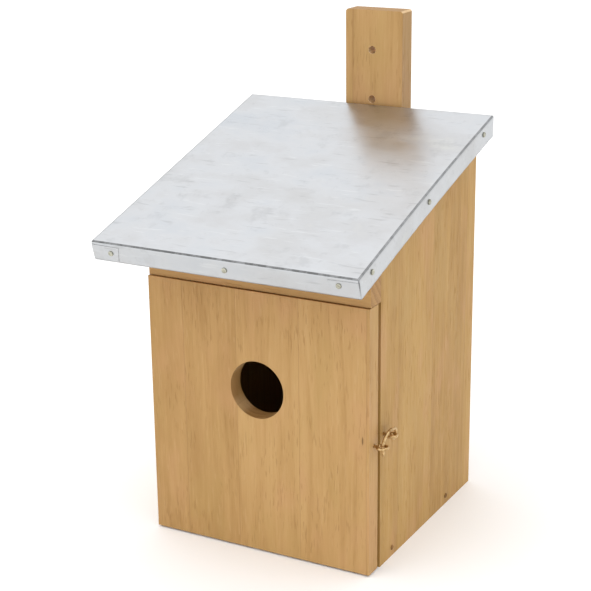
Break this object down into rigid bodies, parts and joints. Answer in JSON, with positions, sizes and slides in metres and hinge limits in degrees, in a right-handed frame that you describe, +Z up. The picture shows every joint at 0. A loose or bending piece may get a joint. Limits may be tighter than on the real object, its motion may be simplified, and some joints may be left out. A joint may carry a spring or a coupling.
{
  "type": "birdhouse",
  "caption": "Wooden birdhouse with a sloping folded zinc roof, a round entrance hole in a side-hung front door held by a hook and eye, and a rear mounting batten.",
  "frame": {"origin": "centre of the overall footprint, on the ground under the box", "axes": "+Z up, -Y towards the door, +X towards the side with the hook"},
  "size_m": [0.1554, 0.1836, 0.2765],
  "materials": {
    "honey_wood": "oiled, fine vertical grain",
    "inner_wood": "plain sawn",
    "zinc": "pale zinc coating, softly glossy, faintly scratched",
    "brass": "yellow zinc plated wire and nails",
    "steel": "bright zinc plated"
  },
  "bodies": {
    "house": {"back_nail_1": "steel", "back_nail_2": "steel", "back_panel": "inner_wood", "floor_board": "inner_wood", "floor_nail_left_1": "steel", "floor_nail_left_2": "steel", "floor_nail_right_1": "steel", "floor_nail_right_2": "steel", "front_top_strip": "honey_wood", "hinge_lower_frame_leaf": "brass", "hinge_lower_frame_screw_1": "brass", "hinge_lower_frame_screw_2": "brass", "hinge_lower_pin": "steel", "hinge_upper_frame_leaf": "brass", "hinge_upper_frame_screw_1": "brass", "hinge_upper_frame_screw_2": "brass", "hinge_upper_pin": "steel", "hook_pivot_eye": "brass", "left_side": "honey_wood", "mounting_post": "honey_wood", "post_screw_1": "steel", "post_screw_2": "steel", "right_side": "honey_wood", "roof_board": "inner_wood", "roof_nail_front_1": "brass", "roof_nail_front_2": "brass", "roof_nail_front_3": "brass", "roof_nail_left_1": "brass", "roof_nail_left_2": "brass", "roof_nail_left_3": "brass", "roof_nail_rear_1": "brass", "roof_nail_rear_2": "brass", "roof_nail_right_1": "brass", "roof_nail_right_2": "brass", "roof_nail_right_3": "brass", "roof_sheet": "zinc", "strip_nail_1": "steel", "strip_nail_2": "steel"},
    "door": {"door_eye": "brass", "front_door": "honey_wood", "hinge_lower_door_leaf": "brass", "hinge_lower_door_screw_1": "brass", "hinge_lower_door_screw_2": "brass", "hinge_upper_door_leaf": "brass", "hinge_upper_door_screw_1": "brass", "hinge_upper_door_screw_2": "brass"},
    "hook": {"latch_hook": "brass"}
  },
  "joints": [
    {"name": "door_hinge", "type": "hinge", "parent": "house", "child": "door", "pos_m": [-0.0682, -0.04545, 0.075], "axis": [0, 0, -1], "range_deg": [0, 195]},
    {"name": "hook_pivot", "type": "hinge", "parent": "house", "child": "hook", "pos_m": [0.0706, -0.03745, 0.0756], "axis": [-1, 0, 0], "range_deg": [0, 130]}
  ]
}
